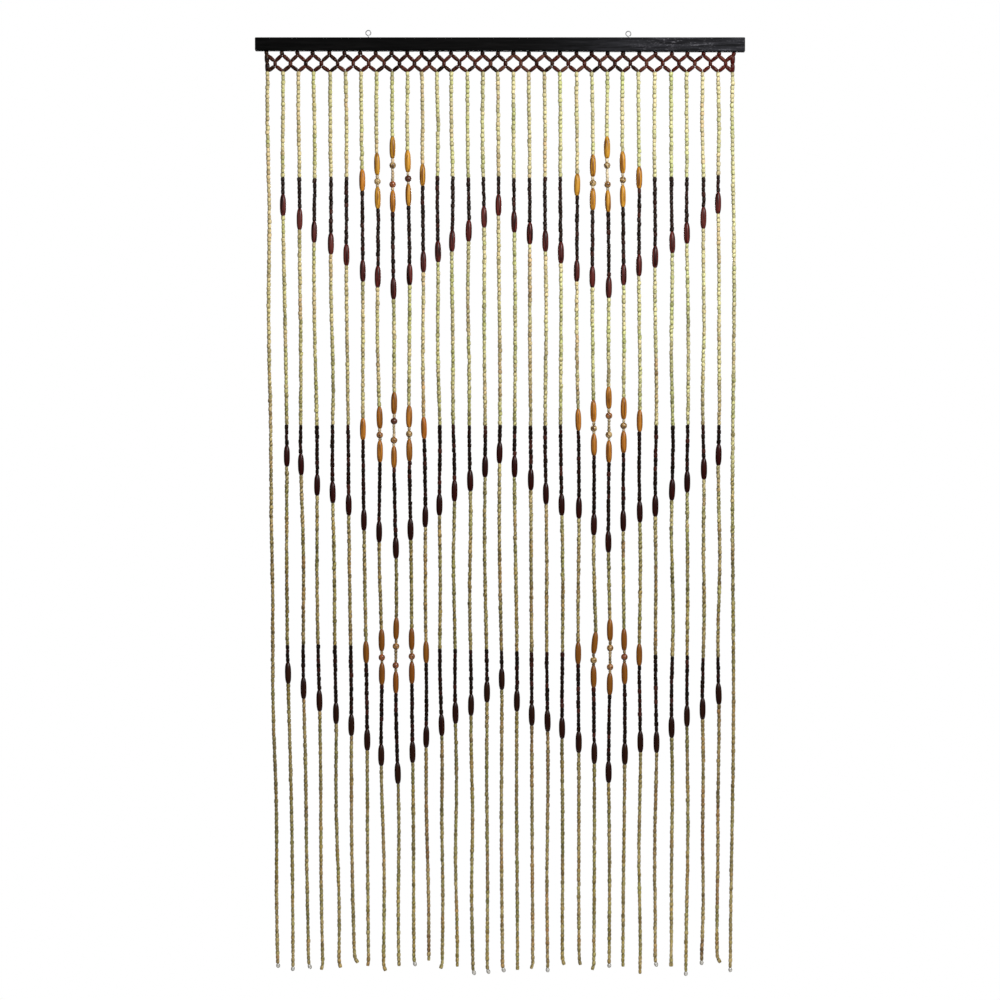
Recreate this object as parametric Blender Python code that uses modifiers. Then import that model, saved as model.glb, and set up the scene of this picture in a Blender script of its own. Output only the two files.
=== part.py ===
"""Bead curtain: a stained wood bar on two screw eyes, a net of short beads under the bar, and 31 bead
strands that hang from the net and draw three rows of V's with diamonds above their points.

Metres, +Z up. The origin is the centre of the bar's top face, +X runs to the right along the bar for
someone who faces the curtain, and the curtain faces -Y. Levels are depths below the bar's top."""

import math
from collections import namedtuple

import bmesh
import bpy
from mathutils import Matrix

MM = 0.001
CLEARANCE = 0.3 * MM

# Bar: its lower edge slopes, so that it is a little taller at the right end
BAR_LENGTH = 900 * MM
BAR_DEPTH = 20 * MM
BAR_HEIGHT_LEFT = 24 * MM
BAR_HEIGHT_RIGHT = 26 * MM
BAR_ROUNDING = 1.5 * MM

# Screw eyes
WIRE_RADIUS = 0.9 * MM
EYE_RADIUS = 4.6 * MM
SHANK_DEPTH = 12 * MM
SHANK_SIDES = 8
RING_STEPS = 16
WIRE_SIDES = 6
Eye = namedtuple("Eye", "name x height")
EYES = (
    Eye("screw_eye_left", -242 * MM, 9.0 * MM),
    Eye("screw_eye_right", 236 * MM, 7.5 * MM),
)

# Net: zigzags of oblong beads between the bar and the strands
PITCH = 28.62 * MM
TOP_LEVEL = 30.5 * MM
TOP_BEAD_RADIUS = 2.8 * MM
TOP_BEAD_OVERLAP = 1.2 * MM
EDGE_OVERLAP = 1.5 * MM
CROSSING_LEVEL = 46 * MM
CROSSING_SPREAD = 1.6 * MM
NODE_LEVEL = 60.5 * MM
NET_BEAD_RADIUS = 2.6 * MM
NET_TIP_RADIUS = 1.4 * MM
CROSSING_RADIUS = 2.9 * MM
NET_BEAD_SHARE = 0.66

# Strands: all drift to the right on their way down, and the outer ones also lean in
LAST = 30
MIDDLE = 15
SEED_RADIUS = 2.9 * MM
ROOT_LENGTH = 3 * MM
SHORTEST_END = 1700 * MM
DRIFT = 8.5 * MM
NET_GATHER = 2 * MM
GATHER = 11 * MM
CURL_LENGTH = 28 * MM
END_RADIUS = 2.3 * MM

# One row for each strand from left to right, in mm: how far it hangs beside its even place, how far
# its three dark spindles lie below the even V, how far it passes the shortest end, and its end's curl
Strand = namedtuple("Strand", "aside slip_1 slip_2 slip_3 longer curl")
STRANDS = [
    Strand(*row)
    for row in (
        (0, 0, 0, 0, 9, 1),
        (0, -3, 2, 0, 15, -1),
        (0, 1, -5, 3, 11, 6),
        (-1, 3, 10, 1, 13, -5),
        (1, 3, 1, -1, 9, 5),
        (1, 2, 1, -4, 0, 9),
        (1, 10, 6, -2, 6, -3),
        (1, -1, 5, 1, 15, 5),
        (1, -1, 12, 9, 6, 0),
        (1, -5, 1, -6, 6, 5),
        (-1, -7, 0, -11, -4, 0),
        (-2, -4, 1, -9, 11, -5),
        (-4, -2, -2, -8, 7, 0),
        (-3, 1, 2, 1, 22, 5),
        (-3, -3, -1, 0, 20, 5),
        (-4, -3, -4, 0, 17, 5),
        (-4, 6, -1, 15, 13, 0),
        (-4, 6, 0, 16, 11, -5),
        (-4, -2, 3, 2, 17, 0),
        (-4, -2, 1, -10, 4, 5),
        (-2, 10, -16, -9, 4, 3),
        (-2, -1, -8, -14, 13, -5),
        (-2, -3, 1, -4, 9, 0),
        (-3, -5, -15, -14, 7, 0),
        (-2, 0, -9, -13, 20, 0),
        (-1, 6, 3, 11, 7, 5),
        (1, 1, -4, 7, 7, 0),
        (1, 5, 4, 10, 24, 0),
        (2, -1, 3, 20, 4, 0),
        (2, -7, 0, 16, 0, 9),
        (0, 0, 0, 0, 17, 0),
    )
]

# Pattern: each tier's dark spindles step down to two V points, with honey beads above each point.
# point_step is the drop from strand to strand, slope the drop of the whole tier to the right
V_POINTS = (8, 22)
V_HALF_WIDTH = 7
Tier = namedtuple("Tier", "spindle_end point_step slope honey_middle")
TIERS = (
    Tier(330 * MM, 21.6 * MM, 0.0, 259 * MM),
    Tier(786 * MM, 22.7 * MM, 0.0, 718 * MM),
    Tier(1186 * MM, 24.2 * MM, 0.8 * MM, 1136 * MM),
)

# Beads by kind: overall length, radius, and rings as (share of the length, share of the radius).
# A share of 0 means the radius of the seeds beside it
Form = namedtuple("Form", "length radius rings")
FORMS = {
    "spindle": Form(38 * MM, 5.5 * MM, ((0, 0), (0.3, 1), (0.7, 1), (1, 0))),
    "honey": Form(40 * MM, 5.8 * MM, ((0, 0), (0.3, 1), (0.7, 1), (1, 0))),
    "round": Form(12 * MM, 6.2 * MM, ((0, 0), (0.5, 1), (1, 0))),
}

# Honey chains by distance from the V point: each bead and the run of seeds after it
CHAINS = {
    0: (("honey", 7 * MM), ("round", 23 * MM), ("round", 5 * MM), ("honey", 0.0)),
    1: (("honey", 6 * MM), ("round", 4 * MM), ("honey", 0.0)),
    2: (("honey", 0.0),),
}

# How far each strand's three honey chains hang below the middle of their tier, in mm
HONEY_SLIPS = {
    6: (3, 3, -6),
    7: (4, 13, 3),
    8: (-8, 5, 0),
    9: (-1, 11, 1),
    10: (-7, 1, -6),
    20: (11, -14, -4),
    21: (7, 1, 8),
    22: (-8, -5, 3),
    23: (1, -4, 2),
    24: (-2, -12, -1),
}


def clear_scene():
    for old in list(bpy.data.objects):
        bpy.data.objects.remove(old)


def new_collection(name):
    collection = bpy.data.collections.new(name)
    bpy.context.scene.collection.children.link(collection)
    return collection


def new_material(name, colour, roughness, metallic=0.0):
    material = bpy.data.materials.new(name)
    material.use_nodes = True
    shader = material.node_tree.nodes["Principled BSDF"]
    shader.inputs["Base Color"].default_value = (*colour, 1.0)
    shader.inputs["Roughness"].default_value = roughness
    shader.inputs["Metallic"].default_value = metallic
    return material


def new_object(name, mesh, collection, material=None):
    made = bpy.data.objects.new(name, mesh)
    collection.objects.link(made)
    if material:
        mesh.materials.append(material)
    return made


def as_helper(made):
    made.hide_render = True
    made.display_type = "WIRE"
    return made


def add_boolean(target, other, operation, solver="EXACT"):
    modifier = target.modifiers.new(other.name, "BOOLEAN")
    modifier.operation = operation
    modifier.solver = solver
    modifier.object = other
    modifier.material_mode = "TRANSFER"


def cylinder_mesh(name, radius, top, bottom, tip_radius=None):
    """An upright cylinder between two heights, or a cone where a tip radius is given."""
    mesh = bpy.data.meshes.new(name)
    made = bmesh.new()
    bmesh.ops.create_cone(
        made,
        cap_ends=True,
        segments=SHANK_SIDES,
        radius1=radius if tip_radius is None else tip_radius,
        radius2=radius,
        depth=top - bottom,
        matrix=Matrix.Translation((0, 0, (top + bottom) / 2)),
    )
    made.to_mesh(mesh)
    made.free()
    return mesh


def tube_mesh(name, runs):
    """Four-sided tubes, one for each run of (x, level, radius), as closed bodies in one mesh."""
    curve = bpy.data.curves.new(name, "CURVE")
    curve.dimensions = "3D"
    curve.bevel_depth = 1.0
    curve.bevel_resolution = 0
    curve.use_fill_caps = True
    for run in runs:
        spline = curve.splines.new("POLY")
        spline.points.add(len(run) - 1)
        for point, (x, level, radius) in zip(spline.points, run):
            point.co = (x, 0, -level, 1)
            point.radius = radius
    drawn = bpy.data.objects.new(name, curve)
    bpy.context.scene.collection.objects.link(drawn)
    graph = bpy.context.evaluated_depsgraph_get()
    mesh = bpy.data.meshes.new_from_object(drawn.evaluated_get(graph))
    bpy.data.objects.remove(drawn)
    welded = bmesh.new()
    welded.from_mesh(mesh)
    bmesh.ops.remove_doubles(welded, verts=welded.verts, dist=0.001 * MM)
    welded.to_mesh(mesh)
    welded.free()
    return mesh


def bar_drop(strand):
    """How much lower the bar's edge lies above this strand than at the left end."""
    return (BAR_HEIGHT_RIGHT - BAR_HEIGHT_LEFT) * strand / LAST


def even_x(strand):
    """The strand's place under the bar. Half numbers lie midway between two strands."""
    left = math.floor(strand)
    right = math.ceil(strand)
    aside = (STRANDS[left].aside + STRANDS[right].aside) / 2 * MM
    return (strand - MIDDLE) * PITCH + aside


def strand_x(strand, level):
    """Where the strand hangs at this level, after its drift and its lean towards the middle."""
    outwards = (strand - MIDDLE) / MIDDLE
    down = max(0.0, (level - NODE_LEVEL) / (SHORTEST_END - NODE_LEVEL))
    through_net = min(1.0, level / NODE_LEVEL)
    gather = NET_GATHER * through_net + GATHER * down**2
    return even_x(strand) + DRIFT * down - outwards * gather


def chain_beads(strand, tier_number):
    """(kind, top level) for each honey and round bead of this strand in one tier."""
    distance = min(abs(strand - point) for point in V_POINTS)
    chain = CHAINS.get(distance, ())
    length = sum(FORMS[kind].length + seeds for kind, seeds in chain)
    slip = HONEY_SLIPS.get(strand, (0, 0, 0))[tier_number] * MM
    level = TIERS[tier_number].honey_middle + slip - length / 2
    beads = []
    for kind, seeds in chain:
        beads.append((kind, level))
        level += FORMS[kind].length + seeds
    return beads


def strand_beads(strand):
    """(kind, top level) for each large bead of one strand, from top to bottom."""
    row = STRANDS[strand]
    steps = V_HALF_WIDTH - min(abs(strand - point) for point in V_POINTS)
    if steps < 0:
        return []
    beads = []
    for number, (tier, slip) in enumerate(zip(TIERS, (row.slip_1, row.slip_2, row.slip_3))):
        beads += chain_beads(strand, number)
        end = tier.spindle_end + tier.slope * strand + tier.point_step * steps + slip * MM
        beads.append(("spindle", end - FORMS["spindle"].length))
    return beads


def strand_run(strand):
    """The strand's outline as (x, level, radius), with its large beads and its curled end."""
    rings = [(NODE_LEVEL + bar_drop(strand) - ROOT_LENGTH, SEED_RADIUS)]
    for kind, top in strand_beads(strand):
        form = FORMS[kind]
        for share, swell in form.rings:
            radius = form.radius if swell else SEED_RADIUS
            rings.append((top + share * form.length, radius))
    row = STRANDS[strand]
    end = SHORTEST_END + row.longer * MM
    rings.append((end - CURL_LENGTH, SEED_RADIUS))
    run = [(strand_x(strand, level), level, radius) for level, radius in rings]
    curl = row.curl * MM
    halfway = end - CURL_LENGTH / 2
    run.append((strand_x(strand, halfway) + curl / 4, halfway, SEED_RADIUS))
    run.append((strand_x(strand, end) + curl, end, END_RADIUS))
    return run


def chained_beads(corners):
    """A run of oblong beads from corner to corner, each corner given as (x, level, radius)."""
    run = [corners[0]]
    for start, end in zip(corners, corners[1:]):
        for share in ((1 - NET_BEAD_SHARE) / 2, (1 + NET_BEAD_SHARE) / 2):
            x = start[0] + share * (end[0] - start[0])
            level = start[1] + share * (end[1] - start[1])
            run.append((x, level, NET_BEAD_RADIUS))
        run.append(end)
    return run


def net_corner(strand, level, radius):
    """A corner of the net, whose levels follow the slope of the bar's lower edge."""
    level += bar_drop(strand)
    return strand_x(strand, level), level, radius


def zigzag(strand_level, crossing_level):
    """One row of slanting beads: from a strand to the crossing and on to the next strand."""
    corners = []
    for strand in range(LAST):
        corners.append(net_corner(strand, strand_level, NET_TIP_RADIUS))
        corners.append(net_corner(strand + 0.5, crossing_level, CROSSING_RADIUS))
    corners.append(net_corner(LAST, strand_level, NET_TIP_RADIUS))
    return chained_beads(corners)


def top_beads():
    """The short upright beads that touch the bar."""
    runs = []
    for strand in range(LAST + 1):
        top = net_corner(strand, BAR_HEIGHT_LEFT + CLEARANCE, TOP_BEAD_RADIUS)
        bottom = net_corner(strand, TOP_LEVEL + TOP_BEAD_OVERLAP, TOP_BEAD_RADIUS)
        runs.append([top, bottom])
    return runs


def edge_beads():
    """Two upright oblong beads at each side of the net."""
    runs = []
    for strand in (0, LAST):
        levels = (TOP_LEVEL - EDGE_OVERLAP, (TOP_LEVEL + NODE_LEVEL) / 2, NODE_LEVEL + EDGE_OVERLAP)
        runs.append(chained_beads([net_corner(strand, level, NET_TIP_RADIUS) for level in levels]))
    return runs


def make_bar(collection, cutters):
    mesh = bpy.data.meshes.new("header_bar")
    box = bmesh.new()
    bmesh.ops.create_cube(box, size=1.0)
    for corner in box.verts:
        height = BAR_HEIGHT_RIGHT if corner.co.x > 0 else BAR_HEIGHT_LEFT
        corner.co.x *= BAR_LENGTH
        corner.co.y *= BAR_DEPTH
        corner.co.z = 0 if corner.co.z > 0 else -height
    box.to_mesh(mesh)
    box.free()
    wood = new_material("stained wood", (0.012, 0.011, 0.012), 0.55)
    bar = new_object("header_bar", mesh, collection, wood)
    rounding = bar.modifiers.new("rounding", "BEVEL")
    rounding.width = BAR_ROUNDING
    rounding.segments = 2
    for eye in EYES:
        bottom = -SHANK_DEPTH - CLEARANCE
        hole = cylinder_mesh(eye.name + "_hole", WIRE_RADIUS + CLEARANCE, 2 * MM, bottom)
        cutter = as_helper(new_object(hole.name, hole, cutters))
        cutter.location.x = eye.x
        add_boolean(bar, cutter, "DIFFERENCE")


def make_eye(eye, collection, cutters, steel):
    """A wire ring that faces the front, on a pointed shank in the bar's top."""
    bpy.ops.mesh.primitive_torus_add(
        major_radius=EYE_RADIUS,
        minor_radius=WIRE_RADIUS,
        major_segments=RING_STEPS,
        minor_segments=WIRE_SIDES,
        rotation=(math.radians(90), 0, 0),
        location=(eye.x, 0, eye.height),
    )
    ring = bpy.context.object
    ring.name = eye.name
    ring.data.materials.append(steel)
    ring.data.shade_smooth()
    for other in list(ring.users_collection):
        other.objects.unlink(ring)
    collection.objects.link(ring)
    top = eye.height - EYE_RADIUS
    shank = cylinder_mesh(eye.name + "_shank", WIRE_RADIUS, top, -SHANK_DEPTH, WIRE_RADIUS / 2)
    helper = as_helper(new_object(shank.name, shank, cutters, steel))
    helper.location.x = eye.x
    add_boolean(ring, helper, "UNION")


def make_curtain(collection, cutters):
    """The net and the strands as one body: the strands' roots are fused into the net's lower corners."""
    lacquer = new_material("dark red lacquered wood", (0.035, 0.006, 0.005), 0.3)
    straw = new_material("straw seeds", (0.30, 0.24, 0.10), 0.45)
    upper_row = zigzag(TOP_LEVEL, CROSSING_LEVEL - CROSSING_SPREAD)
    lower_row = zigzag(NODE_LEVEL, CROSSING_LEVEL + CROSSING_SPREAD)
    mesh = tube_mesh("bead_curtain", [upper_row])
    curtain = new_object("bead_curtain", mesh, collection, lacquer)
    joined = {
        "net_lower_row": ([lower_row], lacquer),
        "net_top_beads": (top_beads(), lacquer),
        "net_edge_beads": (edge_beads(), lacquer),
        "strands": ([strand_run(strand) for strand in range(LAST + 1)], straw),
    }
    for name, (runs, material) in joined.items():
        helper = as_helper(new_object(name, tube_mesh(name, runs), cutters, material))
        add_boolean(curtain, helper, "UNION", "MANIFOLD")


def build():
    clear_scene()
    parts = new_collection("bead curtain")
    cutters = new_collection("cutters and joined shapes")
    make_bar(parts, cutters)
    steel = new_material("zinc-plated steel", (0.62, 0.62, 0.62), 0.35, 1.0)
    for eye in EYES:
        make_eye(eye, parts, cutters, steel)
    make_curtain(parts, cutters)


build()
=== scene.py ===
"""Looks of the bead curtain: every bead strung on its cord, the lacquered net, the stained bar and the
wire eyes, with the light and the camera. Metres, in the frame of the solids: the origin is the centre
of the bar's top face, +X is to the right, the front faces -Y, and levels are depths below the bar's top."""

import math
import random
from collections import namedtuple

import bpy
import numpy as np
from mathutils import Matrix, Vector


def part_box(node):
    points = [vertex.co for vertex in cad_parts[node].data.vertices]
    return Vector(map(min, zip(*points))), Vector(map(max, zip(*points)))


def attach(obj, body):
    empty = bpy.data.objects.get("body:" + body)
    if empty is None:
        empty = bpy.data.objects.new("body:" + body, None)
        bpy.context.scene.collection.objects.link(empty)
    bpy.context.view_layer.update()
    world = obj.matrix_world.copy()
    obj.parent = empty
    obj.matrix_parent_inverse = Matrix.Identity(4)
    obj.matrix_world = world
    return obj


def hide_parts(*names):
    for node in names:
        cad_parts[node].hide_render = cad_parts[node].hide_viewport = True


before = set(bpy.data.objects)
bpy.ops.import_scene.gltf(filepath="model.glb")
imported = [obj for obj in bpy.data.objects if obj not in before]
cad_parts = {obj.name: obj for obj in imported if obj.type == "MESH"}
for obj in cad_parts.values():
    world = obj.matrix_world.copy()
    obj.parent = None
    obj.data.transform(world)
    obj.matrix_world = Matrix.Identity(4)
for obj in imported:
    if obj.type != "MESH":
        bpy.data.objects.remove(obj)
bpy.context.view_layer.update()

MM = 0.001
SEED = 31

# Camera: the photograph's frame, with the bar's length as its scale
BAR_PIXELS = 490
FRAME_PIXELS = 1000
BAR_TOP_PIXEL = 37.5
CAMERA_DISTANCE = 7.0
SENSOR = 36.0

# Bar, measured on its solid, whose lower edge slopes down to the right
bar_low, bar_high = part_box("header_bar")
BAR_LENGTH = bar_high.x - bar_low.x
BAR_HEIGHT_RIGHT = -bar_low.z
BAR_HEIGHT_LEFT = BAR_HEIGHT_RIGHT - 2 * MM
PIXEL_SIZE = BAR_LENGTH / BAR_PIXELS

# Stage: a floor, and lights that all point at one place in the curtain
FLOOR_RADIUS = 1.1
FLOOR_LEVEL = 1.95
LIT_PLACE = (0, 0, -0.85)
Light = namedtuple("Light", "name place size power")
LIGHTS = (
    Light("key", (1.8, -2.9, 1.0), 0.9, 134),
    Light("fill", (-2.0, -3.6, 0.3), 1.4, 16),
    Light("back", (0, 3.6, 0.3), 1.6, 60),
)

# Screw eyes: where each stands along the bar and how high its ring's centre is. The ring's wire starts
# at an angle in degrees from +X and sweeps up and round to the shank, which goes down into the bar
WIRE_RADIUS = 0.9 * MM
EYE_RADIUS = 4.6 * MM
EYE_START = -66
EYE_SWEEP = 330
EYE_STEPS = 44
SHANK_DEPTH = 9 * MM
EYES = {"left": (-242 * MM, 9.0 * MM), "right": (236 * MM, 7.5 * MM)}

# Net
PITCH = 28.62 * MM
TOP_LEVEL = 30.5 * MM
CROSSING_LEVEL = 47.2 * MM
NODE_LEVEL = 61.8 * MM
OBLONG_LENGTH = 17 * MM
OBLONG_RADIUS = 3.7 * MM
SHORT_RADIUS = 3.7 * MM
CROSSING_LENGTH = 9.4 * MM
LOWER_SHORTER = 1 * MM
EDGE_OVERLAP = 1.5 * MM
TOP_OVERLAP = 0.8 * MM
OUTER_LEAN = 1.6 * MM
TOP_SWELL = 1.12
EDGE_SWELL = 1.2

# Where the slanting cords meet the short bead at a crossing, as shares of its half length
UPPER_MEETING = 0.75
LOWER_MEETING = 0.85

# Chance in the net: lean and shift in mm, shares of length and radius, and the darkest beads' hues
LEAN_SPREAD = 0.5
SHIFT_SPREAD = 0.25
OBLONG_LENGTHS = (0.95, 1.04)
NET_RADII = (0.94, 1.05)
DARKEST_HUES = 0.2

# Strands
LAST = 30
MIDDLE = 15
CORD_RADIUS = 0.5 * MM
CORD_STEP = 30 * MM
CORD_RISE = 1 * MM
EVEN_END = 1700 * MM
DRIFT = 8.5 * MM
NET_GATHER = 2 * MM
GATHER = 11 * MM
CURL_LENGTH = 14 * MM
CURL_SHARE = 0.65
SWAY = 0.8 * MM
SWAY_GROWS_OVER = 100 * MM
WAVE_LENGTHS = (0.25, 0.9)
END_BEAD_LENGTH = 8 * MM
LOOP_RADIUS = 0.65 * MM
LOOP_STEPS = 12

# The seeds get slightly thinner from the curtain's top to its foot
TOP_SEED_SWELL = 1.09
SEED_TAPER = 0.11

# Kinds of bead that are small, and so looser on the cord and less even
SMALL_BEADS = ("seed", "dark_seed", "spacer")

# Chance on the strands: how far in mm beads stand off the cord, small ones less so at the foot, how
# uneven a dark line is in mm, shares of length, radius and roundness, and the tones of runs of beads
SMALL_LOOSE = 0.4
SMALL_LOOSE_TAPER = 0.2
LARGE_LOOSE = 0.15
UNEVEN_LINE = 1.5
SEED_LENGTHS = (0.9, 1.1)
SMALL_RADII = (0.88, 1.08)
LARGE_RADII = (0.96, 1.03)
SQUEEZES = (0.95, 1.06)
STRAND_TONES = (0.1, 0.65)
PATCH_SPREAD = 0.2
PATCH_BEADS = (2, 8)

# Hue, value and tone of what isn't coloured by chance
PLAIN = (0.5, 0.5, 0.5)

# Edges of the beads' meshes that are sharper than this, in degrees, aren't smoothed
SHARP_ANGLE = 58

# Strands that end in a clear plastic bead, where the others end in a seed
CLEAR_ENDS = (0, 1, 2, 9, 13, 14, 15, 18, 22, 25, 27, 28, 30)

# One row for each strand from left to right, in mm: how far it hangs beside its even place, how far
# its three dark spindles lie below the even V, how far it passes the even end, and its end's curl
Strand = namedtuple("Strand", "aside slip_1 slip_2 slip_3 longer curl")
STRANDS = [
    Strand(*row)
    for row in (
        (0, 0, 0, 0, 9, 1),
        (0, -3, 2, 0, 15, -1),
        (0, 1, -5, 3, 11, 6),
        (-1, 3, 10, 1, 13, -5),
        (1, 3, 1, -1, 9, 5),
        (1, 2, 1, -4, 0, 9),
        (1, 10, 6, -2, 6, -3),
        (1, -1, 5, 1, 15, 5),
        (1, -1, 12, 9, 6, 0),
        (1, -5, 1, -6, 6, 5),
        (-1, -7, 0, -11, -4, 0),
        (-2, -4, 1, -9, 11, -5),
        (-4, -2, -2, -8, 7, 0),
        (-3, 1, 2, 1, 22, 5),
        (-3, -3, -1, 0, 20, 5),
        (-4, -3, -4, 0, 17, 5),
        (-4, 6, -1, 15, 13, 0),
        (-4, 6, 0, 16, 11, -5),
        (-4, -2, 3, 2, 17, 0),
        (-4, -2, 1, -10, 4, 5),
        (-2, 10, -16, -9, 4, 3),
        (-2, -1, -8, -14, 13, -5),
        (-2, -3, 1, -4, 9, 0),
        (-3, -5, -15, -14, 7, 0),
        (-2, 0, -9, -13, 20, 0),
        (-1, 6, 3, 11, 7, 5),
        (1, 1, -4, 7, 7, 0),
        (1, 5, 4, 10, 24, 0),
        (2, -1, 3, 20, 4, 0),
        (2, -7, 0, 16, 0, 9),
        (0, 0, 0, 0, 17, 0),
    )
]

# Pattern: dark_line is where a tier's dark seeds begin, line_follows how much of its strand's slip that
# line takes, spindle_end where the spindles furthest from a V's point end, point_step how much lower the
# next one towards the point is, slope how far the tier drops from strand to strand, and honey_middle the
# middle of its honey chains
V_POINTS = (8, 22)
V_HALF_WIDTH = 7
Tier = namedtuple("Tier", "dark_line line_follows spindle_end point_step slope honey_middle")
TIERS = (
    Tier(256 * MM, 0.3, 330 * MM, 21.6 * MM, 0.0, 259 * MM),
    Tier(712 * MM, 0.0, 786 * MM, 22.7 * MM, 0.0, 716 * MM),
    Tier(1114 * MM, 0.1, 1186 * MM, 24.2 * MM, 0.8 * MM, 1135 * MM),
)

# Honey chains by distance from the V point: each bead and the length of the seeds after it
CHAINS = {
    0: (("honey", 7 * MM), ("round", 23 * MM), ("round", 5 * MM), ("honey", 0.0)),
    1: (("honey", 6 * MM), ("round", 4 * MM), ("honey", 0.0)),
    2: (("honey", 0.0),),
}

# How far each strand's three honey chains hang below the middle of their tier, in mm
HONEY_SLIPS = {
    6: (3, 3, -6),
    7: (4, 13, 3),
    8: (-8, 5, 0),
    9: (-1, 11, 1),
    10: (-7, 1, -6),
    20: (11, -14, -4),
    21: (7, 1, 8),
    22: (-8, -5, 3),
    23: (1, -4, 2),
    24: (-2, -12, -1),
}

# Where a strand is pushed aside at a bead that leans: level, how far, and how far up and down this reaches
Kink = namedtuple("Kink", "level aside above below")
KINKS = {21: Kink(1094 * MM, 4 * MM, 150 * MM, 44 * MM)}

# Woods of the round beads by strand and tier, from red-brown at 0 through ochre to cream at 1
ROUND_WOODS = {
    7: ((0.88,), (0.62,), (0.5,)),
    8: ((0.84, 0.5), (0.3, 0.66), (0.66, 0.45)),
    9: ((0.24,), (0.8,), (0.56,)),
    21: ((0.84,), (0.88,), (0.8,)),
    22: ((0.88, 0.7), (0.58, 0.84), (0.72, 0.62)),
    23: ((0.8,), (0.78,), (0.42,)),
}

# Beads: length (0 where it fills a run), radius, sides, outline as (share of length, share of radius)
Form = namedtuple("Form", "length radius sides outline")
SEED_OUTLINE = ((0.0, 0.74), (0.15, 0.92), (0.5, 1.0), (0.85, 0.92), (1.0, 0.74))
DARK_SEED_OUTLINE = ((0.0, 0.8), (0.15, 0.94), (0.5, 1.0), (0.85, 0.94), (1.0, 0.8))
SPINDLE_OUTLINE = (
    (0.0, 0.40),
    (0.008, 0.50),
    (0.04, 0.60),
    (0.12, 0.78),
    (0.23, 0.92),
    (0.37, 0.99),
    (0.54, 1.0),
    (0.70, 0.98),
    (0.82, 0.91),
    (0.91, 0.79),
    (0.965, 0.67),
    (0.992, 0.57),
    (1.0, 0.46),
)
OBLONG_OUTLINE = (
    (0.0, 0.45),
    (0.03, 0.68),
    (0.12, 0.87),
    (0.3, 0.98),
    (0.5, 1.0),
    (0.7, 0.98),
    (0.88, 0.87),
    (0.97, 0.68),
    (1.0, 0.45),
)


def round_outline(steps):
    """A ball that is cut off flat where the cord goes in."""
    # The share of the half turn that is cut off at each end
    cut = 0.12
    angles = np.linspace(cut * math.pi, (1 - cut) * math.pi, steps)
    half = math.cos(angles[0])
    return tuple(((half - math.cos(a)) / (2 * half), math.sin(a)) for a in angles)


FORMS = {
    "seed": Form(8.2 * MM, 3.5 * MM, 10, SEED_OUTLINE),
    "dark_seed": Form(8.4 * MM, 3.75 * MM, 10, DARK_SEED_OUTLINE),
    "spacer": Form(6.5 * MM, 3.0 * MM, 10, SEED_OUTLINE),
    "spindle": Form(39.5 * MM, 5.8 * MM, 20, SPINDLE_OUTLINE),
    "honey": Form(40 * MM, 5.7 * MM, 20, SPINDLE_OUTLINE),
    "round": Form(12 * MM, 6.2 * MM, 18, round_outline(11)),
    "oblong": Form(OBLONG_LENGTH, OBLONG_RADIUS, 14, OBLONG_OUTLINE),
    "short": Form(0.0, SHORT_RADIUS, 14, OBLONG_OUTLINE),
    "end": Form(END_BEAD_LENGTH, 3.0 * MM, 14, round_outline(9)),
    "cord": Form(0.0, CORD_RADIUS, 6, ((0.0, 1.0), (1.0, 1.0))),
}


def linear(red, green, blue):
    """A colour given as it looks on a screen, 0 to 255, as the shader's own values."""
    return tuple(
        v / 255 / 12.92 if v <= 10 else ((v / 255 + 0.055) / 1.055) ** 2.4 for v in (red, green, blue)
    )


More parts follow.
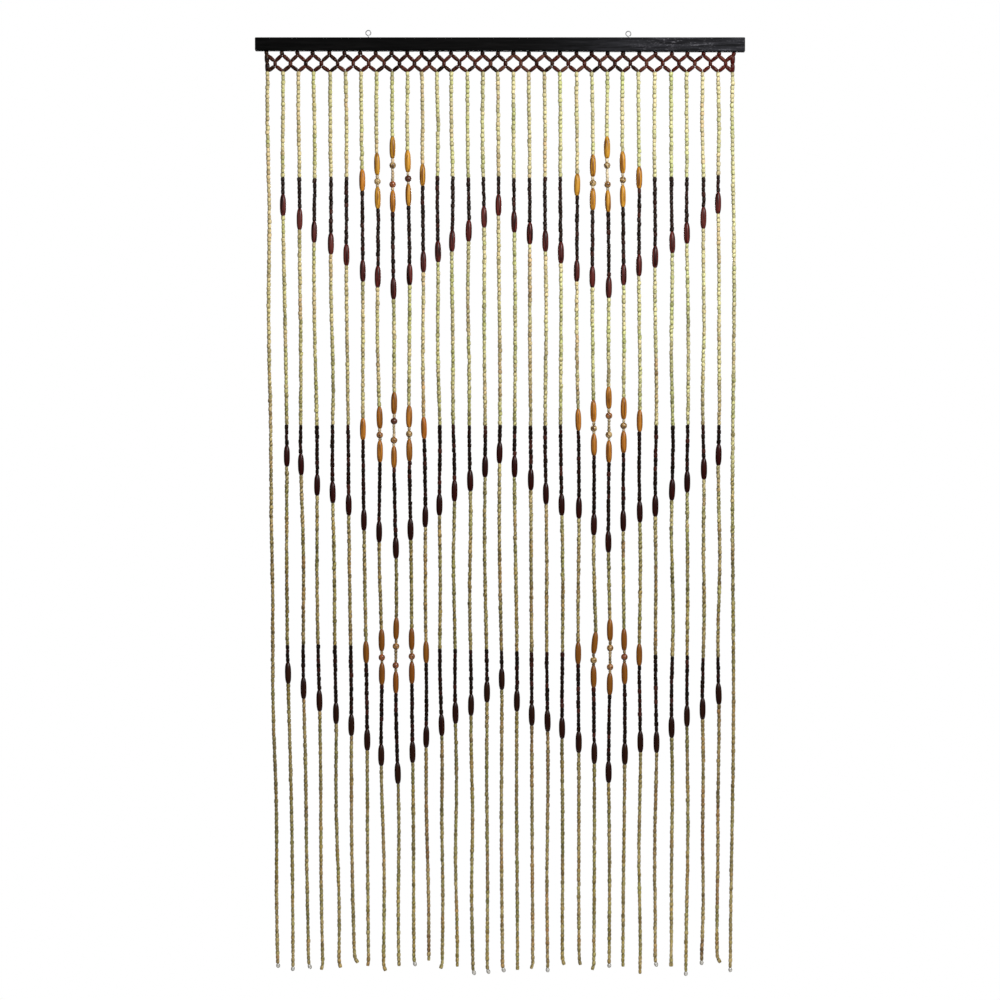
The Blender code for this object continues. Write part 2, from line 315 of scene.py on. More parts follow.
class Nodes:
    """A material's node tree, with the few kinds of node that the finishes below need."""

    def __init__(self, name, roughness, gloss=0.5):
        self.material = bpy.data.materials.new(name)
        self.material.use_nodes = True
        self.tree = self.material.node_tree
        self.shader = self.tree.nodes["Principled BSDF"]
        self.shader.inputs["Roughness"].default_value = roughness
        self.shader.inputs["Specular IOR Level"].default_value = gloss
        self.place = self.tree.nodes.new("ShaderNodeTexCoord").outputs["Object"]

    def join(self, source, target):
        if isinstance(source, bpy.types.NodeSocket):
            self.tree.links.new(source, target)
        else:
            target.default_value = source

    def attribute(self):
        """The bead's own hue and value, 1 in its middle to 0 at its ends, and the tone of its run."""
        node = self.tree.nodes.new("ShaderNodeAttribute")
        node.attribute_name = "bead"
        parts = self.tree.nodes.new("ShaderNodeSeparateColor")
        self.tree.links.new(node.outputs["Color"], parts.inputs["Color"])
        return (*parts.outputs, node.outputs["Alpha"])

    def noise(self, scale, detail=3.0, roughness=0.5, distortion=0.0, slant=0.0):
        """Noise between 0 and 1, in grains per metre along each axis, turned by slant about Y."""
        mapping = self.tree.nodes.new("ShaderNodeMapping")
        mapping.vector_type = "TEXTURE"
        mapping.inputs["Rotation"].default_value = (0.0, slant, 0.0)
        mapping.inputs["Scale"].default_value = [1 / grains for grains in scale]
        self.tree.links.new(self.place, mapping.inputs["Vector"])
        node = self.tree.nodes.new("ShaderNodeTexNoise")
        node.inputs["Scale"].default_value = 1.0
        node.inputs["Detail"].default_value = detail
        node.inputs["Roughness"].default_value = roughness
        node.inputs["Distortion"].default_value = distortion
        self.tree.links.new(mapping.outputs["Vector"], node.inputs["Vector"])
        return node.outputs["Fac"]

    def ramp(self, value, stops):
        """Colours or greys by value, from stops of (value, colour)."""
        node = self.tree.nodes.new("ShaderNodeValToRGB")
        elements = node.color_ramp.elements
        while len(elements) < len(stops):
            elements.new(0.5)
        for element, (position, colour) in zip(elements, stops):
            element.position = position
            colour = (colour,) * 3 if isinstance(colour, (int, float)) else colour
            element.color = (*colour, 1.0)
        self.join(value, node.inputs["Fac"])
        return node.outputs["Color"]

    def mix(self, share, first, second, blend="MIX"):
        node = self.tree.nodes.new("ShaderNodeMix")
        node.data_type = "RGBA"
        node.blend_type = blend
        self.join(share, node.inputs["Factor"])
        for socket, colour in ((node.inputs[6], first), (node.inputs[7], second)):
            self.join((*colour, 1.0) if isinstance(colour, tuple) else colour, socket)
        return node.outputs[2]

    def math(self, operation, first, second):
        node = self.tree.nodes.new("ShaderNodeMath")
        node.operation = operation
        self.join(first, node.inputs[0])
        self.join(second, node.inputs[1])
        return node.outputs[0]

    def axis(self, name):
        parts = self.tree.nodes.new("ShaderNodeSeparateXYZ")
        self.tree.links.new(self.place, parts.inputs["Vector"])
        return parts.outputs[name]

    def level(self):
        """0 at the bar to 1 at the curtain's foot."""
        return self.math("MULTIPLY", self.axis("Z"), -1 / EVEN_END)

    def rightwards(self):
        """0 at the bar's middle to 1 at its right end."""
        return self.math("MULTIPLY", self.axis("X"), 1.0 / (BAR_LENGTH / 2))

    def bump(self, height, distance, strength=1.0):
        node = self.tree.nodes.new("ShaderNodeBump")
        node.inputs["Distance"].default_value = distance
        node.inputs["Strength"].default_value = strength
        self.tree.links.new(height, node.inputs["Height"])
        self.tree.links.new(node.outputs["Normal"], self.shader.inputs["Normal"])

    def finish(self, colour, roughness=None):
        self.tree.links.new(colour, self.shader.inputs["Base Color"])
        if roughness is not None:
            self.tree.links.new(roughness, self.shader.inputs["Roughness"])
        return self.material


def straw_seeds(name, tones, shade):
    """Half-glossy natural seeds from olive to tan, browner and more mottled down the curtain, with painted
    shade at their ends where they meet.
    """
    nodes = Nodes(name, 0.45, 0.3)
    hue, value, along, tone = nodes.attribute()
    level = nodes.level()
    mixed = nodes.math("ADD", nodes.math("MULTIPLY", hue, 0.3), nodes.math("MULTIPLY", tone, 0.7))
    colour = nodes.ramp(mixed, tones)
    browner = nodes.ramp(
        level,
        (
            (0.03, (1.05, 1.05, 1.04)),
            (0.3, (1.06, 1.05, 0.98)),
            (0.58, (0.56, 0.5, 0.36)),
            (0.8, (0.48, 0.42, 0.32)),
            (0.95, (0.64, 0.56, 0.44)),
        ),
    )
    colour = nodes.mix(1.0, colour, browner, "MULTIPLY")
    # Redder to the left and paler to the right, which fades out within the third row of V's
    across = nodes.math("ADD", nodes.math("MULTIPLY", nodes.axis("X"), 1.0 / BAR_LENGTH), 0.5)
    sided = nodes.ramp(across, ((0.1, (0.98, 0.92, 0.88)), (0.5, (1.0, 1.0, 1.0)), (0.9, (1.05, 1.1, 1.12))))
    upper = nodes.ramp(level, ((0.0, 0.6), (0.25, 1.0), (0.6, 1.0), (0.75, 0.0)))
    colour = nodes.mix(upper, colour, sided, "MULTIPLY")
    own = nodes.ramp(value, ((0.0, 0.7), (0.5, 0.97), (1.0, 1.0)))
    colour = nodes.mix(1.0, colour, own, "MULTIPLY")
    streaks = nodes.noise((340, 340, 110), 4.0, 0.6, slant=0.8)
    strength = nodes.ramp(level, ((0.08, 0.4), (0.3, 0.65), (0.5, 1.0), (0.6, 1.0), (0.75, 0.75)))
    streaked = nodes.ramp(streaks, ((0.42, (0.25, 0.23, 0.15)), (0.56, (1.11, 1.11, 1.17))))
    colour = nodes.mix(strength, colour, streaked, "MULTIPLY")
    # Reddish stretches and deeper ones, both more common further down
    more_red = nodes.ramp(level, ((0.3, 0.75), (0.6, 1.0)))
    stretches = nodes.math("MULTIPLY", nodes.noise((60, 60, 22), 2.0), more_red)
    reddish = nodes.ramp(stretches, ((0.5, (1.0, 1.0, 1.0)), (0.62, (1.05, 0.89, 0.74))))
    colour = nodes.mix(1.0, colour, reddish, "MULTIPLY")
    more_deep = nodes.ramp(level, ((0.25, 0.0), (0.6, 0.06)))
    depths = nodes.math("SUBTRACT", nodes.noise((45, 45, 9), 2.0), more_deep)
    deeper = nodes.ramp(depths, ((0.3, 0.78), (0.46, 1.07), (0.62, 1.12)))
    colour = nodes.mix(1.0, colour, deeper, "MULTIPLY")
    # Painted shade: each seed's ends, where it meets the next, are darkened towards olive-brown, less so
    # further down
    uneven = nodes.math("ADD", along, nodes.math("MULTIPLY", streaks, 0.5))
    painted_pinch_shade = nodes.math("MULTIPLY", nodes.ramp(uneven, ((0.3, 1.0), (0.75, 0.0))), shade)
    painted_pinch_shade = nodes.math("MULTIPLY", painted_pinch_shade, nodes.ramp(level, ((0.3, 1.0), (0.6, 0.35))))
    colour = nodes.mix(painted_pinch_shade, colour, linear(96, 88, 46))
    nodes.bump(nodes.noise((700, 700, 240), 3.0), 0.25 * MM, 0.5)
    return nodes.finish(colour, nodes.ramp(streaks, ((0.3, 0.55), (0.7, 0.35))))


def dark_seeds():
    """Near-black brown seeds, a few of them redder, with a soft polish and a painted pale grey highlight on
    the middles of the upper ones.
    """
    nodes = Nodes("dark_seeds", 0.4, 0.05)
    hue, value, along, _tone = nodes.attribute()
    colour = nodes.ramp(
        hue,
        (
            (0.0, linear(16, 8, 3)),
            (0.72, linear(30, 15, 7)),
            (0.92, linear(48, 18, 12)),
            (1.0, linear(76, 38, 29)),
        ),
    )
    # Painted highlight: mottled pale grey on the middle of each seed, strongest in the upper rows and faint
    # further down
    mottle = nodes.noise((500, 500, 260), 4.0, 0.6)
    wear_and_painted_highlight = nodes.math("MULTIPLY", nodes.ramp(mottle, ((0.46, 0.0), (0.68, 0.65))), along)
    wear_and_painted_highlight = nodes.math("MULTIPLY", wear_and_painted_highlight, nodes.ramp(nodes.level(), ((0.2, 1.0), (0.4, 0.15))))
    colour = nodes.mix(wear_and_painted_highlight, colour, linear(128, 110, 102))
    nodes.bump(nodes.noise((600, 600, 300), 3.0), 0.3 * MM, 0.6)
    return nodes.finish(colour, nodes.ramp(value, ((0.0, 0.3), (1.0, 0.5))))


def turned_wood(name, tones, streak, roughness, gloss):
    """Lacquered turned wood whose grain runs along the bead, with a tone for each tier's level."""
    nodes = Nodes(name, roughness, gloss)
    hue, value, _along, _tone = nodes.attribute()
    colour = nodes.ramp(nodes.level(), tones)
    own = nodes.ramp(value, ((0.0, 0.74), (1.0, 1.0)))
    colour = nodes.mix(1.0, colour, own, "MULTIPLY")
    redder = nodes.ramp(hue, ((0.0, (1.08, 0.8, 0.72)), (0.5, (1.0, 1.0, 1.0)), (1.0, (1.02, 1.06, 1.0))))
    colour = nodes.mix(1.0, colour, redder, "MULTIPLY")
    grain = nodes.noise((330, 330, 16), 4.0, 0.6, 0.3)
    colour = nodes.mix(nodes.ramp(grain, ((0.42, 1.0), (0.54, 0.0))), colour, streak)
    pores = nodes.noise((1100, 1100, 60), 2.0)
    colour = nodes.mix(nodes.ramp(pores, ((0.34, 0.7), (0.44, 0.0))), colour, streak)
    nodes.bump(pores, 0.1 * MM, 0.3)
    return nodes.finish(colour)


def round_wood():
    """Round beads of mixed woods, from red-brown to cream, with dark grain across them."""
    nodes = Nodes("round_beads", 0.35, 0.4)
    hue, _value, _along, _tone = nodes.attribute()
    woods = (
        (0.0, linear(74, 34, 26)),
        (0.3, linear(96, 50, 36)),
        (0.5, linear(176, 100, 56)),
        (0.75, linear(196, 156, 92)),
        (1.0, linear(224, 202, 150)),
    )
    colour = nodes.ramp(hue, woods)
    rings = nodes.noise((200, 200, 330), 4.0, 0.6, 0.8, slant=0.8)
    colour = nodes.mix(nodes.ramp(rings, ((0.44, 0.95), (0.54, 0.0))), colour, linear(80, 46, 24))
    nodes.bump(rings, 0.3 * MM, 0.4)
    nodes.shader.inputs["Coat Weight"].default_value = 0.3
    nodes.shader.inputs["Coat Roughness"].default_value = 0.15
    return nodes.finish(colour)


def net_lacquer():
    """Dark red-brown gloss lacquer, redder towards the right end, paler in patches on some beads, partly
    wear and partly painted sheen.
    """
    nodes = Nodes("net_lacquer", 0.26, 0.09)
    hue, value, _along, _tone = nodes.attribute()
    tones = (
        (0.0, linear(16, 5, 3)),
        (0.3, linear(46, 14, 9)),
        (0.7, linear(72, 25, 18)),
        (1.0, linear(94, 56, 44)),
    )
    colour = nodes.ramp(hue, tones)
    rightwards = nodes.rightwards()
    redder = nodes.ramp(rightwards, ((0.5, 0.0), (0.95, 0.45)))
    colour = nodes.mix(redder, colour, linear(98, 22, 17))
    grain = nodes.noise((380, 380, 380), 4.0, 0.6)
    # Pale patches: partly wear, partly painted sheen in place of the lacquer's low gloss
    colour = nodes.mix(nodes.ramp(grain, ((0.5, 0.0), (0.66, 0.65))), colour, linear(112, 84, 68))
    nodes.bump(grain, 0.1 * MM, 0.25)
    return nodes.finish(colour, nodes.ramp(value, ((0.0, 0.22), (1.0, 0.36))))


def pale_end_beads():
    """Clear plastic end beads, milky with wear."""
    nodes = Nodes("end_beads", 0.16)
    cloud = nodes.noise((260, 260, 260), 3.0)
    colour = nodes.ramp(cloud, ((0.3, linear(232, 228, 216)), (0.7, linear(250, 249, 245))))
    nodes.shader.inputs["Transmission Weight"].default_value = 0.3
    nodes.shader.inputs["IOR"].default_value = 1.49
    return nodes.finish(colour)


def cord_fibre(name, darker, lighter):
    nodes = Nodes(name, 0.6)
    fibre = nodes.noise((2400, 2400, 900), 2.0)
    colour = nodes.ramp(fibre, ((0.3, darker), (0.7, lighter)))
    nodes.bump(fibre, 0.1 * MM, 0.5)
    return nodes.finish(colour)


def stained_wood():
    """Black stain over straight grain, greyer to the right, with pale scuffs near the right end."""
    nodes = Nodes("black_stained_wood", 0.5, 0.04)
    grain = nodes.noise((7, 260, 260), 6.0, 0.62, 0.3)
    fine = nodes.noise((34, 460, 460), 4.0, 0.65, 0.2)
    rightwards = nodes.rightwards()
    left = nodes.ramp(grain, ((0.35, linear(5, 5, 5)), (0.65, linear(17, 16, 16))))
    right = nodes.ramp(grain, ((0.35, linear(22, 22, 24)), (0.65, linear(58, 58, 63))))
    greyer = nodes.ramp(rightwards, ((0.1, 0.0), (0.35, 0.35), (0.6, 1.0)))
    colour = nodes.mix(greyer, left, right)
    colour = nodes.mix(1.0, colour, nodes.ramp(fine, ((0.38, 0.4), (0.6, 1.0))), "MULTIPLY")
    specks = nodes.noise((260, 420, 520), 4.0, 0.7, 0.4)
    wear_and_painted_highlight = nodes.ramp(nodes.math("MULTIPLY", specks, fine), ((0.3, 0.0), (0.37, 1.0)))
    near_end = nodes.ramp(rightwards, ((0.5, 0.0), (0.72, 1.0), (0.97, 0.5)))
    scuffs = nodes.math("MULTIPLY", wear_and_painted_highlight, near_end)
    colour = nodes.mix(nodes.math("MULTIPLY", scuffs, 0.65), colour, linear(134, 132, 138))
    height = nodes.math("ADD", nodes.math("MULTIPLY", grain, 0.8), nodes.math("MULTIPLY", fine, 0.3))
    nodes.bump(height, 0.5 * MM, 0.7)
    return nodes.finish(colour, nodes.ramp(grain, ((0.3, 0.42), (0.7, 0.6))))


def wire_steel():
    nodes = Nodes("zinc_wire", 0.5)
    nodes.shader.inputs["Metallic"].default_value = 0.6
    cloud = nodes.noise((900, 900, 900), 4.0)
    colour = nodes.ramp(cloud, ((0.3, linear(132, 132, 132)), (0.7, linear(184, 185, 187))))
    nodes.bump(cloud, 0.1 * MM, 0.3)
    return nodes.finish(colour, nodes.ramp(cloud, ((0.3, 0.6), (0.7, 0.45))))


class BeadMesh:
    """Collects turned shapes, each between two points, and makes one mesh of them."""

    def __init__(self, materials):
        self.materials = materials
        self.points = []
        self.faces = []
        self.slots = []
        self.chances = []
        self.count = 0

    def add(self, form, start, end, radius, material, own, spin=0.0, squeeze=1.0):
        """A form turned about the line from start to end. Its own values are hue, value and tone."""
        along = np.array(end) - np.array(start)
        length = np.linalg.norm(along)
        along /= length
        side = np.cross(along, (0.0, 1.0, 0.0))
        side /= np.linalg.norm(side)
        other = np.cross(along, side)
        sides = form.sides
        angles = np.arange(sides) * math.tau / sides + spin
        ring = np.outer(np.cos(angles), side) * squeeze + np.outer(np.sin(angles), other) / squeeze
        hue, value, tone = own
        for share, swell in form.outline:
            self.points.append(np.array(start) + along * share * length + ring * swell * radius)
            self.chances += [(hue, value, 1 - abs(2 * share - 1), tone)] * sides
        rings = len(form.outline)
        first = self.count
        last = first + (rings - 1) * sides
        faces = [tuple(range(first + sides - 1, first - 1, -1)), tuple(range(last, last + sides))]
        for row in range(rings - 1):
            low = first + row * sides
            for step in range(sides):
                turn = (step + 1) % sides
                faces.append((low + step, low + turn, low + sides + turn, low + sides + step))
        self.faces += faces
        self.slots += [self.materials.index(material)] * len(faces)
        self.count += rings * sides

    def make(self, name):
        mesh = bpy.data.meshes.new(name)
        mesh.from_pydata(np.concatenate(self.points).tolist(), [], self.faces)
        for material in self.materials:
            mesh.materials.append(material)
        mesh.polygons.foreach_set("material_index", self.slots)
        chances = mesh.attributes.new("bead", "FLOAT_COLOR", "POINT")
        chances.data.foreach_set("color", np.array(self.chances, np.float32).ravel())
        mesh.shade_smooth()
        mesh.set_sharp_from_angle(angle=math.radians(SHARP_ANGLE))
        made = bpy.data.objects.new(name, mesh)
        bpy.context.scene.collection.objects.link(made)
        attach(made, "root")
        return made


def bar_drop(strand):
    """How far the bar's lower edge has dropped from its left end to this strand."""
    return (BAR_HEIGHT_RIGHT - BAR_HEIGHT_LEFT) * strand / LAST


def even_x(strand):
    """The strand's place under the bar. Half numbers lie midway between two strands."""
    aside = (STRANDS[math.floor(strand)].aside + STRANDS[math.ceil(strand)].aside) / 2 * MM
    return (strand - MIDDLE) * PITCH + aside


def strand_x(strand, level):
    """Where the strand hangs at this level, after its drift and its lean towards the middle."""
    outwards = (strand - MIDDLE) / MIDDLE
    down = max(0.0, (level - NODE_LEVEL) / (EVEN_END - NODE_LEVEL))
    gather = NET_GATHER * min(1.0, level / NODE_LEVEL) + GATHER * down**2
    return even_x(strand) + DRIFT * down - outwards * gather


class Line:
    """The line that one strand's cord follows: its lean, a slight sway and the curl at its end."""

    def __init__(self, strand, chance):
        row = STRANDS[strand]
        self.strand = strand
        self.top = NODE_LEVEL + bar_drop(strand) / 2
        self.end = EVEN_END + row.longer * MM
        self.curl = row.curl * CURL_SHARE * MM
        # Two waves sideways, then two to the front and back
        self.waves = [(chance.uniform(*WAVE_LENGTHS), chance.uniform(0, math.tau)) for _ in range(4)]

    def sway(self, level, waves):
        depth = level - self.top
        swing = sum(math.sin(math.tau * depth / length + phase) for length, phase in waves)
        return SWAY * swing * min(1.0, depth / SWAY_GROWS_OVER)

    def kink(self, level):
        """How far the strand is pushed aside here by a bead that leans."""
        kink = KINKS.get(self.strand)
        if kink is None:
            return 0.0
        reach = kink.above if level < kink.level else kink.below
        near = max(0.0, 1 - abs(level - kink.level) / reach)
        return kink.aside * near * near * (3 - 2 * near)

    def at(self, level):
        into_curl = max(0.0, (level - self.end + CURL_LENGTH) / CURL_LENGTH)
        x = strand_x(self.strand, level) + self.curl * into_curl**2 + self.sway(level, self.waves[:2])
        x += self.kink(level)
        return Vector((x, self.sway(level, self.waves[2:]), -level))


def chain_beads(strand, tier_number):
    """(kind, top level, bottom level) for each honey and round bead of this strand in one tier."""
    distance = min(abs(strand - point) for point in V_POINTS)
    chain = CHAINS.get(distance, ())
    length = sum(FORMS[kind].length + seeds for kind, seeds in chain)
    slip = HONEY_SLIPS.get(strand, (0, 0, 0))[tier_number] * MM
    level = TIERS[tier_number].honey_middle + slip - length / 2
    beads = []
    for kind, seeds in chain:
        beads.append((kind, level, level + FORMS[kind].length))
        level += FORMS[kind].length + seeds
    return beads


def seed_run(kind, top, bottom, chance):
    """Seeds of uneven length that fill the cord between two levels, none in less than a third of one."""
    if bottom - top < FORMS[kind].length / 3:
        return []
    number = max(1, round((bottom - top) / FORMS[kind].length))
    lengths = [chance.uniform(*SEED_LENGTHS) for _ in range(number)]
    unit = (bottom - top) / sum(lengths)
    beads = []
    for length in lengths:
        beads.append((kind, top, top + length * unit))
        top += length * unit
    return beads


def strand_beads(strand, line, chance):
    """(kind, top level, bottom level) for every bead of one strand, from top to bottom."""
    row = STRANDS[strand]
    steps = V_HALF_WIDTH - min(abs(strand - point) for point in V_POINTS)
    beads = []
    level = line.top
    for number, (tier, slip) in enumerate(zip(TIERS, (row.slip_1, row.slip_2, row.slip_3))):
        if steps < 0:
            break
        above = False
        for kind, top, bottom in chain_beads(strand, number):
            beads += seed_run("spacer" if above else "seed", level, top, chance)
            above = True
            beads.append((kind, top, bottom))
            level = bottom
            dark_top = bottom
        drop = tier.slope * strand
        end = tier.spindle_end + drop + tier.point_step * steps + slip * MM
        spindle_top = end - FORMS["spindle"].length
        if steps <= V_HALF_WIDTH - len(CHAINS):
            uneven = chance.uniform(-UNEVEN_LINE, UNEVEN_LINE)
            dark_top = tier.dark_line + drop + (tier.line_follows * slip + uneven) * MM
            beads += seed_run("seed", level, dark_top, chance)
        beads += seed_run("dark_seed", dark_top, spindle_top, chance)
        beads.append(("spindle", spindle_top, end))
        level = end
    beads += seed_run("seed", level, line.end - END_BEAD_LENGTH, chance)
    last = "end" if strand in CLEAR_ENDS else "seed"
    beads.append((last, line.end - END_BEAD_LENGTH, line.end))
    return beads


def add_cord_loop(mesh, top, bottom, radius, material, own):
    """The cord that loops round the last bead."""
    middle = (top + bottom) / 2
    up = (top - bottom) / 2
    side = Vector((-up.z, 0, up.x)).normalized() * radius
    turn = [math.tau * step / LOOP_STEPS for step in range(LOOP_STEPS + 1)]
    places = [middle + up * math.cos(a) + side * math.sin(a) for a in turn]
    for start, end in zip(places, places[1:]):
        mesh.add(FORMS["cord"], start, end, LOOP_RADIUS, material, own)


def make_strand(strand, finishes):
    """One strand as a piece: its cord and each bead on it, uneven in size, tilt and colour."""
    chance = random.Random(SEED * 100 + strand)
    line = Line(strand, chance)
    mesh = BeadMesh(list(finishes.values()))
    tone = chance.uniform(*STRAND_TONES)
    patch = 0.0
    left_in_patch = 0
    woods = iter([hue for tier in ROUND_WOODS.get(strand, ()) for hue in tier])
    # The cord starts a little above the first bead and stops as much above the last one's tip
    cord_places = round((line.end - line.top) / CORD_STEP)
    cord_levels = np.linspace(line.top - CORD_RISE, line.end - CORD_RISE, cord_places)
    for top, bottom in zip(cord_levels, cord_levels[1:]):
        mesh.add(FORMS["cord"], line.at(top), line.at(bottom), CORD_RADIUS, finishes["cord"], PLAIN)
    for kind, top, bottom in strand_beads(strand, line, chance):
        form = FORMS[kind]
        small = kind in SMALL_BEADS
        loose = (SMALL_LOOSE - SMALL_LOOSE_TAPER * top / line.end if small else LARGE_LOOSE) * MM
        start = line.at(top) + Vector((chance.gauss(0, loose), chance.gauss(0, loose), 0))
        end = line.at(bottom) + Vector((chance.gauss(0, loose), chance.gauss(0, loose), 0))
        radius = form.radius * chance.uniform(*(SMALL_RADII if small else LARGE_RADII))
        if kind == "seed":
            radius *= TOP_SEED_SWELL - SEED_TAPER * top / line.end
        if not left_in_patch:
            patch = chance.gauss(0, PATCH_SPREAD)
            left_in_patch = chance.randint(*PATCH_BEADS)
        left_in_patch -= 1
        hue = next(woods) if kind == "round" else chance.random()
        own = (hue, chance.random(), min(1.0, max(0.0, tone + patch)))
        spin = chance.uniform(0, math.tau)
        squeeze = chance.uniform(*SQUEEZES) if small else 1.0
        mesh.add(form, start, end, radius, finishes[kind], own, spin, squeeze)
        if kind == "end":
            add_cord_loop(mesh, start, end, radius, finishes["loop"], own)
    made = mesh.make(f"strand_{strand + 1:02d}")
    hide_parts("bead_curtain")


def net_place(strand, level, drop=0.0):
    """A place in the net, lowered by this share of the drop of the bar's lower edge."""
    level += bar_drop(strand) * drop
    return Vector((strand_x(strand, level), 0, -level))


def make_net(finishes):
    """The net: slanting oblong beads between short upright ones, and upright pairs at the edges."""
    chance = random.Random(SEED)
    mesh = BeadMesh(list(finishes.values()))

    def string_bead(kind, start, end, length, darkest=False, swell=1.0):
        """A bead of this length in the middle of a stretch of cord."""
        along = (end - start).normalized()
        first = start + along * ((end - start).length - length) * 0.5
        shift = Vector([chance.gauss(0, SHIFT_SPREAD) for _ in range(3)]) * MM
        own = ((DARKEST_HUES if darkest else 1.0) * chance.random(), chance.random(), 0.5)
        radius = FORMS[kind].radius * swell * chance.uniform(*NET_RADII)
        mesh.add(FORMS["cord"], start, end, CORD_RADIUS, finishes["cord"], PLAIN)
        mesh.add(FORMS[kind], first + shift, first + along * length + shift, radius, finishes["net"], own)

    for strand in range(LAST + 1):
        # Only the outer half of the strands' short beads lean, to their own side
        lean = OUTER_LEAN * round((strand - MIDDLE) / (MIDDLE + 0.5)) + chance.gauss(0, LEAN_SPREAD) * MM
        bar_edge = net_place(strand, BAR_HEIGHT_LEFT, 1) + Vector((lean, 0, 0))
        corner = net_place(strand, TOP_LEVEL, 1) - Vector((0, 0, TOP_OVERLAP))
        string_bead("short", bar_edge, corner, (bar_edge - corner).length, darkest=True, swell=TOP_SWELL)
    for strand in range(LAST):
        crossing = net_place(strand + 0.5, CROSSING_LEVEL)
        half = Vector((0, 0, CROSSING_LENGTH / 2))
        string_bead("short", crossing + half, crossing - half, CROSSING_LENGTH)
        for side in (strand, strand + 1):
            corner = net_place(side, TOP_LEVEL, 1)
            node = net_place(side, NODE_LEVEL, 0.5)
            length = OBLONG_LENGTH * chance.uniform(*OBLONG_LENGTHS)
            string_bead("oblong", corner, crossing + half * UPPER_MEETING, length)
            string_bead("oblong", crossing - half * LOWER_MEETING, node, length - LOWER_SHORTER)
    for strand in (0, LAST):
        corner = net_place(strand, TOP_LEVEL, 1)
        node = net_place(strand, NODE_LEVEL, 0.5)
        middle = (corner + node) / 2
        length = (corner - middle).length + EDGE_OVERLAP
        string_bead("oblong", corner, middle, length, darkest=True, swell=EDGE_SWELL)
        string_bead("oblong", middle, node, length, darkest=True, swell=EDGE_SWELL)
    made = mesh.make("bead_net")
    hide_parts("bead_curtain")


def make_eye(side, steel):
    """A wire eye: nearly a whole turn of wire that bends down into the bar."""
    x, height = EYES[side]
    curve = bpy.data.curves.new("eye_wire_" + side, "CURVE")
    curve.dimensions = "3D"
    curve.bevel_depth = WIRE_RADIUS
    curve.bevel_resolution = 4
    curve.use_fill_caps = True
    turn = [math.radians(EYE_START + EYE_SWEEP * step / EYE_STEPS) for step in range(EYE_STEPS + 1)]
    places = [(EYE_RADIUS * math.cos(a), 0.0, height + EYE_RADIUS * math.sin(a)) for a in turn]
    shank_top = height - EYE_RADIUS - WIRE_RADIUS
    places += [(0.0, 0.0, level) for level in (shank_top, shank_top / 2, -SHANK_DEPTH)]
    spline = curve.splines.new("POLY")
    spline.points.add(len(places) - 1)
    for point, place in zip(spline.points, places):
        point.co = (*place, 1)
    drawn = bpy.data.objects.new("eye_curve_" + side, curve)
    bpy.context.scene.collection.objects.link(drawn)
    graph = bpy.context.evaluated_depsgraph_get()
    mesh = bpy.data.meshes.new_from_object(drawn.evaluated_get(graph))
    bpy.data.objects.remove(drawn)
    mesh.materials.clear()
    mesh.materials.append(steel)
    mesh.shade_smooth()
    made = bpy.data.objects.new("eye_wire_" + side, mesh)
    made.location.x = x
    bpy.context.scene.collection.objects.link(made)
    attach(made, "root")
    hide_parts("screw_eye_" + side)


def dress_bar(wood):
    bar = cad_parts["header_bar"]
    bar.data.materials.clear()
    bar.data.materials.append(wood)


def make_camera():
    """Level and square to the curtain, with the photograph's frame on the curtain's plane."""
    camera = bpy.data.cameras.new("camera")
    camera.sensor_width = SENSOR
    camera.lens = SENSOR * CAMERA_DISTANCE / (FRAME_PIXELS * PIXEL_SIZE)
    camera.clip_end = 100
    made = bpy.data.objects.new("camera", camera)
    # The scale holds halfway between the bar's front and the strands' plane
    frame_middle = (FRAME_PIXELS / 2 - BAR_TOP_PIXEL) * PIXEL_SIZE
    made.location = (0, bar_low.y / 2 - CAMERA_DISTANCE, -frame_middle)
    made.rotation_euler = (math.radians(90), 0, 0)
    bpy.context.scene.collection.objects.link(made)
    bpy.context.scene.camera = made


def area_light(name, place, size, power):
    """A round soft light, turned to the curtain, that the camera itself doesn't see."""
    light = bpy.data.lights.new(name, "AREA")
    light.shape = "DISK"
    light.size = size
    light.energy = power
    made = bpy.data.objects.new(name, light)
    made.location = place
    made.rotation_euler = (Vector(LIT_PLACE) - Vector(place)).to_track_quat("-Z", "Y").to_euler()
    made.visible_camera = False
    bpy.context.scene.collection.objects.link(made)


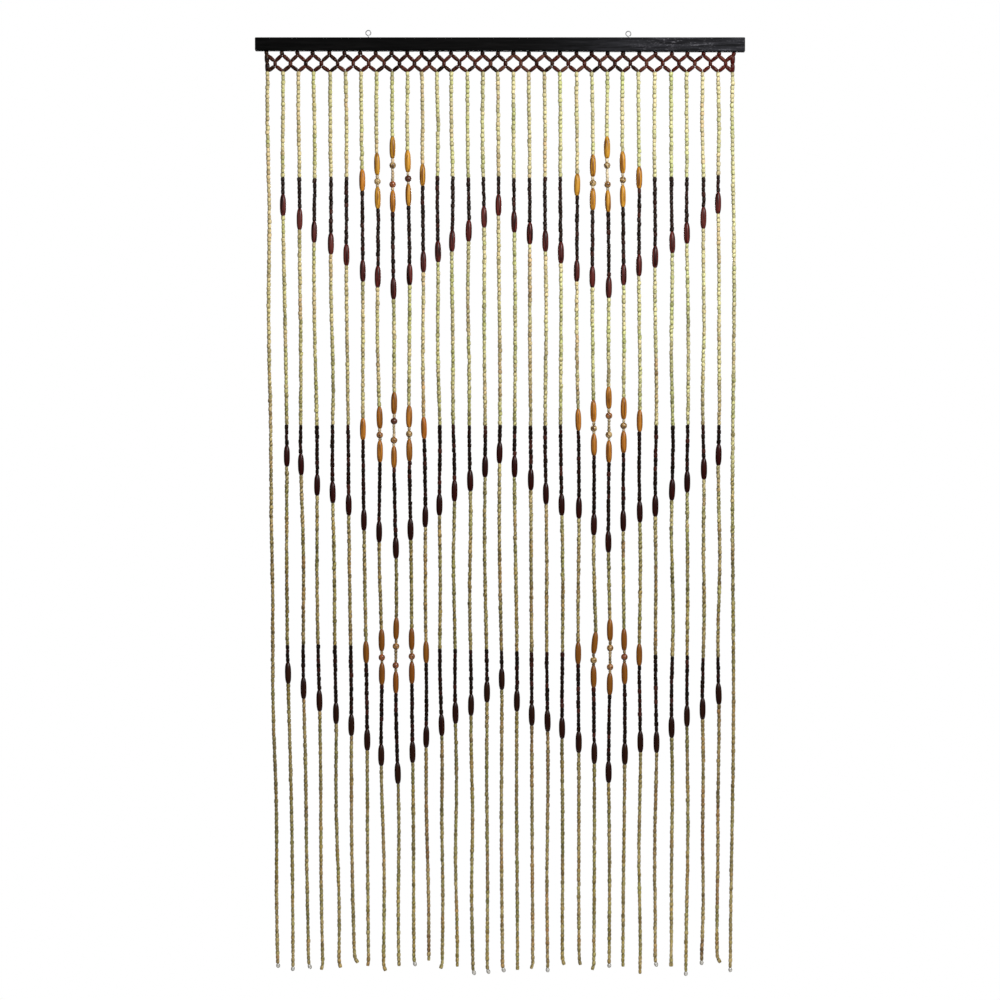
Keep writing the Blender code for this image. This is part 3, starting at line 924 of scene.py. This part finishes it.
def make_stage():
    """A pale floor under the curtain, a white surround, two soft lights in front and one behind."""
    bpy.context.scene.view_settings.view_transform = "Standard"
    place = (0, 0, -FLOOR_LEVEL)
    bpy.ops.mesh.primitive_circle_add(vertices=96, radius=FLOOR_RADIUS, fill_type="NGON", location=place)
    floor = bpy.context.object
    floor.name = "floor"
    paint = Nodes("floor_paint", 0.8)
    speckle = paint.noise((30, 30, 30), 3.0)
    paint.finish(paint.ramp(speckle, ((0.3, 0.78), (0.7, 0.82))))
    floor.data.materials.append(paint.material)
    world = bpy.data.worlds.new("surround")
    world.use_nodes = True
    bpy.context.scene.world = world
    tree = world.node_tree
    seen = tree.nodes["Background"]
    seen.inputs["Color"].default_value = (1, 1, 1, 1)
    seen.inputs["Strength"].default_value = 1.0
    lit = tree.nodes.new("ShaderNodeBackground")
    lit.inputs["Color"].default_value = (1.0, 0.99, 0.97, 1)
    lit.inputs["Strength"].default_value = 0.11
    path = tree.nodes.new("ShaderNodeLightPath")
    mix = tree.nodes.new("ShaderNodeMixShader")
    tree.links.new(path.outputs["Is Camera Ray"], mix.inputs["Fac"])
    tree.links.new(lit.outputs["Background"], mix.inputs[1])
    tree.links.new(seen.outputs["Background"], mix.inputs[2])
    tree.links.new(mix.outputs["Shader"], tree.nodes["World Output"].inputs["Surface"])
    for light in LIGHTS:
        area_light(*light)


def build():
    make_camera()
    make_stage()
    finishes = {
        "seed": straw_seeds(
            "straw_seeds",
            (
                (0.08, linear(208, 211, 140)),
                (0.3, linear(226, 221, 162)),
                (0.6, linear(234, 219, 168)),
                (0.85, linear(226, 197, 148)),
                (1.0, linear(208, 170, 124)),
            ),
            0.6,
        ),
        "spacer": straw_seeds(
            "pale_seeds",
            ((0.2, linear(228, 210, 176)), (0.9, linear(220, 190, 150))),
            0.2,
        ),
        "dark_seed": dark_seeds(),
        "spindle": turned_wood(
            "dark_spindles",
            ((0.18, linear(117, 54, 49)), (0.46, linear(53, 10, 7)), (0.7, linear(49, 25, 12))),
            linear(34, 10, 8),
            0.3,
            0.16,
        ),
        "honey": turned_wood(
            "honey_spindles",
            ((0.15, linear(223, 160, 51)), (0.42, linear(204, 129, 46)), (0.67, linear(146, 87, 24))),
            linear(124, 72, 18),
            0.34,
            0.24,
        ),
        "round": round_wood(),
        "end": pale_end_beads(),
        "cord": cord_fibre("cord", linear(120, 104, 78), linear(176, 160, 128)),
        "loop": cord_fibre("cord_loops", linear(44, 36, 24), linear(92, 80, 56)),
        "net": net_lacquer(),
    }
    dress_bar(stained_wood())
    steel = wire_steel()
    for side in EYES:
        make_eye(side, steel)
    make_net(finishes)
    for strand in range(LAST + 1):
        make_strand(strand, finishes)


build()
